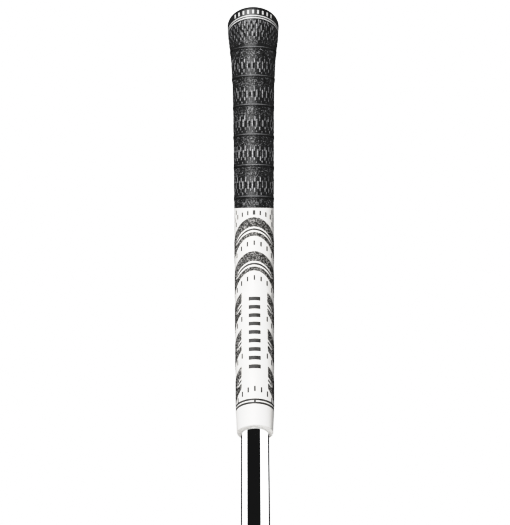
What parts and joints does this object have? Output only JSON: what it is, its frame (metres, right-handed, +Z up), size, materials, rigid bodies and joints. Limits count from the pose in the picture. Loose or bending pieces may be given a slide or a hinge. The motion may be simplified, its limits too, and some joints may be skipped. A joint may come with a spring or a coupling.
{
  "type": "golf grip",
  "caption": "Tapered golf grip on a bare steel shaft end: black corded upper half, white lower half with black arches and dashes, and a flared butt cap.",
  "frame": {"origin": "middle of the grip's mouth on the shaft axis, where the bare shaft leaves the grip", "axes": "+Z up the shaft to the butt cap; -Y is the front, with the plain panel and the guide marks; +X completes the frame"},
  "size_m": [0.0304, 0.0304, 0.3324],
  "materials": {
    "shaft_chrome": "polished chrome plate on steel",
    "tape": "crepe paper tape with adhesive on both faces",
    "inner_rubber": "matt moulded rubber",
    "cord_rubber": "matt black rubber with cotton cord showing through, ribbed and grooved",
    "white_rubber": "satin white moulded rubber",
    "cap_rubber": "smooth satin black moulded rubber",
    "arch_rubber": "matt dark grey corded rubber with light flecks",
    "dark_ink": "matt dark paint fill",
    "white_ink": "satin white paint fill"
  },
  "bodies": {
    "root": {"shaft_tube": "shaft_chrome", "grip_tape": "tape", "inner_sleeve": "inner_rubber", "cord_sleeve": "cord_rubber", "lower_sleeve": "white_rubber", "end_cap": "cap_rubber", "arch_band_1": "arch_rubber", "pinstripe_1": "dark_ink", "arch_band_2": "arch_rubber", "pinstripe_2": "dark_ink", "arch_band_3": "arch_rubber", "pinstripe_3": "dark_ink", "arch_band_4": "arch_rubber", "pinstripe_4": "dark_ink", "arch_band_5": "arch_rubber", "pinstripe_5": "dark_ink", "dash_row_0": "dark_ink", "dash_row_1": "dark_ink", "dash_row_2": "dark_ink", "dash_row_3": "dark_ink", "dash_row_4": "dark_ink", "dash_row_5": "dark_ink", "guide_marks": "dark_ink", "mouth_line_lower": "dark_ink", "mouth_line_upper": "dark_ink", "collar_line_lower": "white_ink", "collar_line_upper": "white_ink", "collar_marks": "white_ink"}
  },
  "joints": []
}
